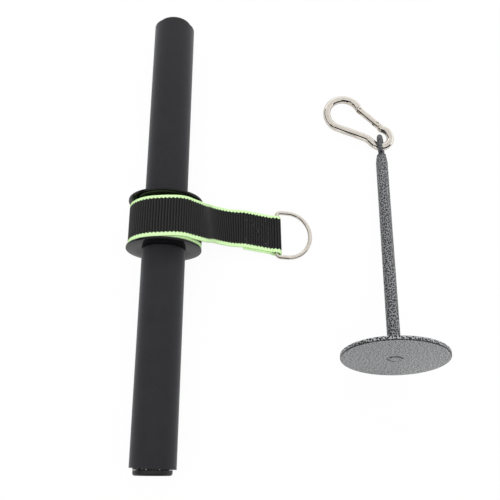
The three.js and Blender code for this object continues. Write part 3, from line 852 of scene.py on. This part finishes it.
def hammered(name, pitch, reach, dark, pale, wrap=None):
    """Hammered paint: a silver net round dark pits, so many millimetres apart. It lies flat across
    the pin's axis (wrap 0), is wrapped round that axis at a radius, or fills the space (None). Two
    broken dark arcs mark the peened foot's seam, and the plate's brink is a little darker."""
    paint = Finish(name, Specular_IOR_Level=0.5, Coat_Weight=0.15, Coat_Roughness=0.15)
    laid = paint.add(
        "ShaderNodeMapping",
        {"vector_type": "TEXTURE"},
        {
            "Vector": paint.place(),
            "Location": PIN.to_translation(),
            "Rotation": PIN.to_euler(),
            "Scale": (MM, MM, MM),
        },
    )
    side, along, front = [
        paint.add("ShaderNodeSeparateXYZ", None, {0: laid}, i) for i in range(3)
    ]
    out = (side * side + front * front) ** 0.5
    if wrap:
        side, front = side.math("ARCTAN2", side, front) * wrap, along
    if wrap is not None:
        laid = paint.add("ShaderNodeCombineXYZ", None, {0: side, 1: front})
    shift = paint.add(
        "ShaderNodeTexNoise", None, {"Vector": laid, "Scale": 0.7 / pitch, "Detail": 2.0}, 1
    )
    drift = paint.add(
        "ShaderNodeVectorMath",
        {"operation": "MULTIPLY_ADD"},
        {0: shift, 1: (0.25 * pitch,) * 3, 2: laid},
    )
    pits = paint.add(
        "ShaderNodeTexVoronoi",
        {"feature": "F1", "voronoi_dimensions": "3D" if wrap is None else "2D"},
        {"Vector": drift, "Scale": 1 / pitch, "Randomness": 0.75},
    )
    flecks = paint.grain(pitch * 0.6, detail=3)
    level = pits.ramp(*reach) * 0.8 + flecks * 0.35
    inner, outer = FOOT_SEAM
    seam = out.ramp(inner, inner + SEAM_BLUR) * (1 - out.ramp(outer - SEAM_BLUR, outer))
    seam = seam * abs(front / out).ramp(*SEAM_SPLITS) * (1 - along.ramp(*SEAM_DEPTH))
    broken = paint.grain(SEAM_GRAIN, detail=1).ramp(*SEAM_BREAKS) * seam
    brink = out.ramp(PLATE_RADIUS - BRINK[0], PLATE_RADIUS - BRINK[1])
    brink = brink * (1 - along.ramp(*BRINK_DEPTH))
    level = level * (1 - broken) * (1 - brink * BRINK_SHADE)
    paint.feed(
        Base_Color=level.tint((0, tone(6, 6, 7)), (0.25, dark), (0.9, pale)),
        Roughness=0.5 - level * 0.2,
        Metallic=level.ramp(0.3, 0.8) * 0.25,
    ).relief(level, 0.2)
    return paint


flat_paint = hammered(
    "hammered_plate", 2.1, (0.1, 0.42), tone(8, 9, 11), tone(160, 161, 163), wrap=0
)
rim_paint = hammered(
    "hammered_rim", 1.9, (0.36, 0.45), tone(1, 1, 2), tone(168, 169, 172), wrap=PLATE_RADIUS
)
rod_paint = hammered(
    "hammered_rod", 1.9, (0.34, 0.42), tone(0, 0, 1), tone(128, 129, 132), wrap=ROD_RADIUS
)
eye_paint = hammered("hammered_eye", 1.4, (0.3, 0.6), tone(0, 0, 1), tone(92, 93, 96))

tenon_seat = TENON_RADIUS + FIT_GAP
recess = (ROD_RADIUS + FIT_GAP, PLATE_THICKNESS - ROD_SINK)
plate = turned(
    [
        (TENON_HEAD + FIT_GAP, 0),
        (PLATE_RADIUS, 0),
        (PLATE_RADIUS, PLATE_THICKNESS),
        (recess[0], PLATE_THICKNESS),
        recess,
        (tenon_seat, recess[1]),
        (tenon_seat, TENON_DEPTH),
    ],
    PLATE_SIDES,
)
soften(
    plate,
    PLATE_EDGE,
    segments=4,
    least=60,
    only=lambda edge: edge.verts[0].co.xz.length > PLATE_RADIUS - PLATE_EDGE,
)
for face in plate.faces:
    face.material_index = int(abs(face.normal.y) < FACE_SLOPE)
plate_round = piece(
    "base_plate_round", plate, flat_paint, "loading_pin", ["base_plate"], PIN
)
plate_round.data.materials.append(rim_paint.material)

# ---------------------------------------------------------------------------------------------
# Load rod: 12 mm round bar in the same paint. Its foot is turned down, passed through the plate
# and peened over below it, where it has the plate's own coat. Its head tapers to the eye.
ROD_LENGTH = 213
ROD_TAPER = 9
ROD_TIP = 3.8
ROD_SIDES = 64
TAPER_EDGE = 0.6
TAPER_SHARES = (0.7, 0.33)
DOME_SHARES = (0.6, 0.85)

rod = turned(
    [
        (0, -TENON_DOME),
        (TENON_RADIUS * DOME_SHARES[0], -TENON_DOME * DOME_SHARES[1]),
        (TENON_RADIUS, -TENON_DOME / 2),
        (TENON_HEAD, 0),
        (TENON_RADIUS, TENON_DEPTH),
        (TENON_RADIUS, recess[1] + FIT_GAP),
        (ROD_RADIUS, recess[1] + FIT_GAP),
        (ROD_RADIUS, ROD_LENGTH - ROD_TAPER),
        (lerp(ROD_TIP, ROD_RADIUS, TAPER_SHARES[0]), ROD_LENGTH - ROD_TAPER * TAPER_SHARES[1]),
        (ROD_TIP, ROD_LENGTH),
        (0, ROD_LENGTH),
    ],
    ROD_SIDES,
)
soften(
    rod,
    TAPER_EDGE,
    least=8,
    only=lambda edge: min(v.co.y for v in edge.verts) > ROD_LENGTH - 1.5 * ROD_TAPER,
)
for face in rod.faces:
    face.material_index = int(face.calc_center_median().y < FIT_GAP)
rod_bar = piece("load_rod_bar", rod, rod_paint, "loading_pin", ["load_rod"], PIN)
rod_bar.data.materials.append(flat_paint.material)

# ---------------------------------------------------------------------------------------------
# Eye and weld: an oval ring of 5.5 mm round bar, welded on the rod's head and painted with it.
# The bead closes round the ring's foot in a few uneven ripples.
EYE_WIRE = 2.75
SWING_ROOM = 0.13
EYE_HALF = 7.8
EYE_STRAIGHT = 3.8
EYE_ROLL = 63
EYE_STEPS = 36
WELD_RADIUS = 4.6
WELD_REACH = 2.8
WELD_SIDES = 48
RIPPLE_SCALE = 0.45
RIPPLE_SWELL = 0.0875
WELD_SHARES = [(0.86, -0.62), (0.97, -0.25), (1, 0.1), (0.9, 0.45), (0.62, 0.86), (0, 1)]

eye_low = ROD_LENGTH + FIT_GAP + EYE_WIRE + EYE_HALF
eye_path = arc(0, eye_low + EYE_STRAIGHT, EYE_HALF, 0, 180, EYE_STEPS)
eye_path += arc(0, eye_low, EYE_HALF, 180, 360, EYE_STEPS)
eye = bent_wire(eye_path, EYE_WIRE - SWING_ROOM, True)
bmesh.ops.rotate(eye, verts=eye.verts, matrix=Matrix.Rotation(radians(EYE_ROLL), 3, "Y"))
piece("eye_ring_bar", eye, eye_paint, "loading_pin", ["eye_ring"], PIN)

bead = turned(
    [(0, ROD_LENGTH + WELD_SHARES[0][1] * WELD_REACH)]
    + [(r * WELD_RADIUS, ROD_LENGTH + y * WELD_REACH) for r, y in WELD_SHARES],
    WELD_SIDES,
)
bmesh.ops.subdivide_edges(bead, edges=bead.edges[:], cuts=1, use_grid_fill=True)
for point in bead.verts:
    swell = 1 + noise(Vector(point.co) * RIPPLE_SCALE) * RIPPLE_SWELL
    point.co.x *= swell
    point.co.z *= swell
piece("eye_weld_bead", bead, eye_paint, "loading_pin", ["eye_weld"], PIN, crease=60)

# ---------------------------------------------------------------------------------------------
# Snap hook body: 7.5 mm wire, bent to a pear with a flattened tongue for the hinge and a flat
# blade with a notch for the latch, then nickel plated.
HOOK_WIRE = 3.75
BIG_BOW = 17.75
BIG_BOW_X = 43.8
BIG_BOW_Y = -8
SMALL_BOW = 10.5
SPINE_END = (13.2, 7.3)
BIG_BOW_END = 80
SMALL_BOW_START = 75
SMALL_BOW_END = 285
HINGE = (5.3, -11.8)
GATE_ANGLE = -18.4
GATE_LENGTH = 29.9
GATE_RADIUS = 3.25
TONGUE = 2.6
TONGUE_RADIUS = 2.8
RIVET_PLACE = 3.6
RIVET_RADIUS = 1.05
LATCH_PLACE = 3
LATCH_RADIUS = 1
BLADE_LENGTH = 4.9
BLADE_HALF = 2.4
SLOT_ROOM = 1.1
LATCH_GAP = 0.5
SPINE_STEPS = 24
KINK_STEPS = 16
SMALL_BOW_STEPS = 64
BORE_SIDES = 32
HOOK_WEAR = 0.25
HOOK = (
    Matrix.Translation((0.106143, 0.117927, 0.009085))
    @ Matrix.Rotation(radians(155.15), 4, "Z")
    @ Matrix.Rotation(radians(4.8984), 4, "Y")
    @ Matrix.Scale(MM, 4)
)
GATE = Matrix.Translation((*HINGE, 0)) @ Matrix.Rotation(radians(GATE_ANGLE), 4, "Z")


def bar_piece(radius, low, high, axis, at=(0, 0, 0), sides=48):
    """A round bar along X or Z."""
    bm = bmesh.new()
    turn = Matrix.Rotation(pi / 2, 4, "Y") if axis == "X" else Matrix.Identity(4)
    middle = Matrix.Translation(at) @ turn @ Matrix.Translation((0, 0, (low + high) / 2))
    bmesh.ops.create_cone(
        bm,
        cap_ends=True,
        segments=sides,
        radius1=radius,
        radius2=radius,
        depth=high - low,
        matrix=middle,
    )
    return bm


def slab(low, high):
    """A block between two corners, to cut with or to join on."""
    size = Matrix.Diagonal([b - a for a, b in zip(low, high)] + [1])
    middle = Matrix.Translation([(a + b) / 2 for a, b in zip(low, high)])
    bm = bmesh.new()
    bmesh.ops.create_cube(bm, size=1, matrix=middle @ size)
    return bm


def worked(bm, operation, *tools, place=None):
    """Cuts the tools out of a solid, joins them on, or keeps what they share with it."""
    holders = []
    for part in (bm, *tools):
        mesh = bpy.data.meshes.new("work")
        if place and part is not bm:
            bmesh.ops.transform(part, matrix=place, verts=part.verts)
        part.to_mesh(mesh)
        part.free()
        holders.append(bpy.data.objects.new("work", mesh))
        bpy.context.scene.collection.objects.link(holders[-1])
    for tool in holders[1:]:
        step = holders[0].modifiers.new("work", "BOOLEAN")
        step.operation, step.solver, step.object = operation, "EXACT", tool
        step.use_self = True
    done = bpy.data.meshes.new_from_object(
        holders[0].evaluated_get(bpy.context.evaluated_depsgraph_get())
    )
    result = bmesh.new()
    result.from_mesh(done)
    for holder in holders:
        mesh = holder.data
        bpy.data.objects.remove(holder)
        bpy.data.meshes.remove(mesh)
    bpy.data.meshes.remove(done)
    bmesh.ops.remove_doubles(result, verts=result.verts, dist=MERGE_GAP)
    return result


def wear(made, width):
    """Rounds a finished piece's edges a little, as plating and use do."""
    worn = made.modifiers.new("worn_edges", "BEVEL")
    worn.width, worn.segments, worn.angle_limit = width * MM, 2, radians(45)


def on_gate(x):
    """A point of the gate's line, so far from its hinge."""
    turn = radians(GATE_ANGLE)
    return HINGE[0] + x * cos(turn), HINGE[1] + x * sin(turn)


def bezier(start, handle, back, end, steps):
    """Points on a flat curve between two points, led by a handle for each."""
    points = interpolate_bezier(*[Vector((*p, 0)) for p in (start, handle, back, end)], steps)
    return [(p.x, p.y) for p in points]


tip = on_gate(GATE_LENGTH)
big_start = degrees(atan2(tip[1] - BIG_BOW_Y, tip[0] - BIG_BOW_X))
spine, kink = radians(BIG_BOW_END), radians(SMALL_BOW_START)
off_big = arc(BIG_BOW_X, BIG_BOW_Y, BIG_BOW, BIG_BOW_END, BIG_BOW_END, 1)[0]
off_small = arc(0, 0, SMALL_BOW, SMALL_BOW_START, SMALL_BOW_START, 1)[0]
reach = (SPINE_END[0] - off_small[0]) / 2
hook_path = arc(BIG_BOW_X, BIG_BOW_Y, BIG_BOW, big_start, BIG_BOW_END, BOW_STEPS)
hook_path += bezier(
    off_big,
    (off_big[0] - reach * sin(spine), off_big[1] + reach * cos(spine) / 2),
    (SPINE_END[0] + 2 * reach, SPINE_END[1]),
    SPINE_END,
    SPINE_STEPS,
)[1:]
hook_path += bezier(
    SPINE_END,
    (SPINE_END[0] - reach, SPINE_END[1]),
    (off_small[0] + reach * sin(kink), off_small[1] - reach * cos(kink)),
    off_small,
    KINK_STEPS,
)[1:]
hook_path += arc(0, 0, SMALL_BOW, SMALL_BOW_START, SMALL_BOW_END, SMALL_BOW_STEPS)[1:]
hook_path += [on_gate(0)]

room = 2 * HOOK_WIRE
latch_x = GATE_LENGTH - LATCH_PLACE
notch = LATCH_RADIUS + FIT_GAP
hook = worked(
    bent_wire(hook_path, HOOK_WIRE, False, roundness=9),
    "DIFFERENCE",
    slab((0, -room, -room), (GATE_LENGTH, room, room)),
    place=GATE,
)
tongue = worked(
    bar_piece(TONGUE_RADIUS, -TONGUE / 2, TONGUE / 2, "Z", (RIVET_PLACE, 0, 0)),
    "UNION",
    slab((-HOOK_WIRE, -TONGUE_RADIUS, -TONGUE / 2), (RIVET_PLACE, TONGUE_RADIUS, TONGUE / 2)),
)
tongue = worked(
    tongue,
    "DIFFERENCE",
    bar_piece(RIVET_RADIUS + FIT_GAP, -room, room, "Z", (RIVET_PLACE, 0, 0), BORE_SIDES),
)
blade = worked(
    slab(
        (GATE_LENGTH - BLADE_LENGTH, -BLADE_HALF, -TONGUE / 2),
        (GATE_LENGTH + HOOK_WIRE / 2, BLADE_HALF, TONGUE / 2),
    ),
    "DIFFERENCE",
    bar_piece(notch, -room, room, "Z", (latch_x, 0, 0), BORE_SIDES),
    slab((latch_x - notch, 0, -room), (latch_x + notch, room, room)),
)
hook = worked(hook, "UNION", tongue, blade, place=GATE)
hook_body = piece("hook_body_wire", hook, nickel, "snap_hook", ["hook_body"], HOOK)
wear(hook_body, HOOK_WEAR)

# ---------------------------------------------------------------------------------------------
# Gate: 6.5 mm bar, slotted at both ends and bored for its spring, then nickel plated. It turns
# on a rivet through the tongue, and its latch pin drops in the blade's notch.
BORE_RADIUS = 1.9
BORE_LENGTH = 15
GATE_SIDES = 64
GATE_WEAR = 0.2

slot_half = TONGUE / 2 + FIT_GAP
slot_end = TONGUE_RADIUS + SLOT_ROOM
gate_end = GATE_LENGTH - LATCH_GAP - RIVET_PLACE
gate_blank = worked(
    bar_piece(GATE_RADIUS, -GATE_RADIUS, gate_end, "X", sides=GATE_SIDES),
    "INTERSECT",
    worked(
        bar_piece(GATE_RADIUS, -room, room, "Z", sides=GATE_SIDES),
        "UNION",
        slab((0, -room, -room), (gate_end + room, room, room)),
    ),
)
gate_bar = worked(
    gate_blank,
    "DIFFERENCE",
    slab((-room, -room, -slot_half), (slot_end, room, slot_half)),
    slab(
        (GATE_LENGTH - BLADE_LENGTH - RIVET_PLACE - SLOT_ROOM, -room, -slot_half),
        (gate_end + room, room, slot_half),
    ),
    bar_piece(BORE_RADIUS, 0, slot_end + BORE_LENGTH, "X", sides=BORE_SIDES),
    bar_piece(RIVET_RADIUS + FIT_GAP, -room, room, "Z", sides=BORE_SIDES),
    bar_piece(notch, -room, room, "Z", (latch_x - RIVET_PLACE, 0, 0), BORE_SIDES),
)
GATE_PLACE = HOOK @ GATE @ Matrix.Translation((RIVET_PLACE, 0, 0))
hook_gate = piece("hook_gate_bar", gate_bar, nickel, "gate", ["hook_gate"], GATE_PLACE)
wear(hook_gate, GATE_WEAR)

# ---------------------------------------------------------------------------------------------
# Rivet and latch pin: short bright steel pins with lightly domed heads, peened in the gate.
# The plunger and the spring behind it are zinc-plated and hidden in the gate's bore.
PIN_HALF = GATE_RADIUS - FIT_GAP
DOME_SHARE = 0.6
DOME_DROP = 0.08
PEEN_EDGE = 0.3


def cross_pin(name, radius, x):
    """A pin through the gate, so far from the rivet."""
    pin = turned(
        [
            (0, -PIN_HALF),
            (radius * DOME_SHARE, -PIN_HALF + DOME_DROP),
            (radius, -PIN_HALF + PEEN_EDGE),
            (radius, PIN_HALF - PEEN_EDGE),
            (radius * DOME_SHARE, PIN_HALF - DOME_DROP),
            (0, PIN_HALF),
        ],
        BORE_SIDES,
    )
    bmesh.ops.rotate(pin, verts=pin.verts, matrix=Matrix.Rotation(pi / 2, 3, "X"))
    place = GATE_PLACE @ Matrix.Translation((x, 0, 0))
    piece(f"{name}_peened", pin, nickel, "gate", [name], place)


cross_pin("gate_rivet", RIVET_RADIUS, 0)
cross_pin("latch_pin", LATCH_RADIUS, latch_x - RIVET_PLACE)
refinish("gate_plunger", zinc_plate)
refinish("gate_spring", zinc_plate)

# ---------------------------------------------------------------------------------------------
# Table, light and camera: a pale table that fades to white, soft light from both sides and
# above, black cards in front for the metal to mirror, and the camera where the photograph was
# taken from. Sizes are in metres, and a card's are the bearings and heights it is seen between.
TABLE_HALF = 4
TABLE_GREY = (0.7, 0.7, 0.7, 1)
WHITE = (1, 1, 1, 1)
TABLE_GLOW = 1.02
SEEN_SHARE = 0.93
MIRRORED_SHARE = 0.25
WALL_LIGHT = 0.38
MIRRORED_LIGHT = 0.88
LOW_EXTRA = 0.5
LOW_END = (0.4, 0.5)
CARD_BLUR = 0.02
CARDS = [
    (-2.4, -1.2, 0, 0.36),
    (-1.2, -0.8, 0, 0.62),
    (-0.8, -0.34, 0.36, 0.86),
    (-0.34, 0.5, 0, 0.84),
    (0.5, 1.4, 0, 0.6),
]
AIM = Vector((0, 0, 0))
SENSOR = 36
LENS = 47.61
NEAREST = 0.01
SIGHT = Matrix(
    (
        (0.98945, -0.0520, -0.13520, -0.111196),
        (0.00735, 0.9502, -0.31167, -0.20319),
        (0.14467, 0.3074, 0.94052, 0.59127),
        (0, 0, 0, 1),
    )
)

table_bm = bmesh.new()
bmesh.ops.create_grid(table_bm, x_segments=1, y_segments=1, size=TABLE_HALF)
table_mesh = bpy.data.meshes.new("table")
table_bm.to_mesh(table_mesh)
table_bm.free()
table = bpy.data.objects.new("table", table_mesh)
bpy.context.scene.collection.objects.link(table)
pale = Finish("pale_table", Base_Color=TABLE_GREY, Roughness=0.9, Specular_IOR_Level=0.0)
seen = pale.add("ShaderNodeLightPath", output="Is Camera Ray")
mirrored = pale.add("ShaderNodeLightPath", output="Is Glossy Ray")
glow = pale.add("ShaderNodeEmission", None, {"Color": WHITE, "Strength": TABLE_GLOW})
mixed = pale.add(
    "ShaderNodeMixShader",
    None,
    {
        0: seen * SEEN_SHARE + mirrored * MIRRORED_SHARE,
        1: Reading(pale, pale.shader.outputs[0]),
        2: glow,
    },
)
pale.tree.links.new(mixed.socket, pale.tree.nodes["Material Output"].inputs["Surface"])
table_mesh.materials.append(pale.material)

world = bpy.data.worlds.new("studio")
bpy.context.scene.world = world
world.use_nodes = True
studio = Recipe(world.node_tree)
toward = studio.add("ShaderNodeTexCoord", output="Generated")
across, along, up = [
    studio.add("ShaderNodeSeparateXYZ", None, {0: toward}, i) for i in range(3)
]
bearing = across.math("ARCTAN2", across, along * -1)


def card(left, right, low, high):
    """A black card in the studio's front, between two bearings and two heights."""
    wide = bearing.ramp(left - CARD_BLUR, left + CARD_BLUR)
    wide = wide * (1 - bearing.ramp(right - CARD_BLUR, right + CARD_BLUR))
    tall = up.ramp(low - CARD_BLUR, low + CARD_BLUR)
    return wide * tall * (1 - up.ramp(high - CARD_BLUR, high + CARD_BLUR))


cards = card(*CARDS[0])
for edges in CARDS[1:]:
    cards = cards + card(*edges)
bare = 1 - cards
shiny = studio.add("ShaderNodeLightPath", output="Is Glossy Ray")
reflected = (MIRRORED_LIGHT + LOW_EXTRA * (1 - up.ramp(*LOW_END))) * bare.math("MAXIMUM", bare, 0)
walls = WALL_LIGHT + shiny * (reflected - WALL_LIGHT)
sky = studio.add(
    "ShaderNodeMixShader",
    None,
    {
        0: studio.add("ShaderNodeLightPath", output="Is Camera Ray"),
        1: studio.add("ShaderNodeBackground", None, {"Color": WHITE, "Strength": walls}),
        2: studio.add("ShaderNodeBackground", None, {"Color": WHITE, "Strength": 1.0}),
    },
)
studio.tree.links.new(sky.socket, studio.tree.nodes["World Output"].inputs["Surface"])


def softbox(name, at, size, watts):
    """A soft lamp at that place, turned to the set."""
    lamp = bpy.data.lights.new(name, "AREA")
    lamp.shape, lamp.size, lamp.size_y, lamp.energy = "RECTANGLE", *size, watts
    holder = bpy.data.objects.new(name, lamp)
    bpy.context.scene.collection.objects.link(holder)
    holder.location = at
    holder.rotation_euler = (AIM - Vector(at)).to_track_quat("-Z", "Y").to_euler()
    holder.visible_glossy = False


softbox("top_box", (-0.2, -0.3, 1.5), (1.4, 1.4), 14)
softbox("left_box", (-1.3, 0.2, 0.7), (0.8, 1.6), 5)
softbox("right_box", (1.3, 0.2, 0.7), (0.8, 1.6), 5)
softbox("far_box", (0, 1.3, 1.3), (1.6, 0.8), 9)

camera = bpy.data.cameras.new("camera")
camera.sensor_width, camera.lens, camera.clip_start = SENSOR, LENS, NEAREST
viewer = bpy.data.objects.new("camera", camera)
bpy.context.scene.collection.objects.link(viewer)
spot = Matrix.Translation(SIGHT.to_translation())
viewer.matrix_world = spot @ SIGHT.to_quaternion().to_matrix().to_4x4()
bpy.context.scene.camera = viewer
bpy.context.scene.view_settings.view_transform = "Standard"
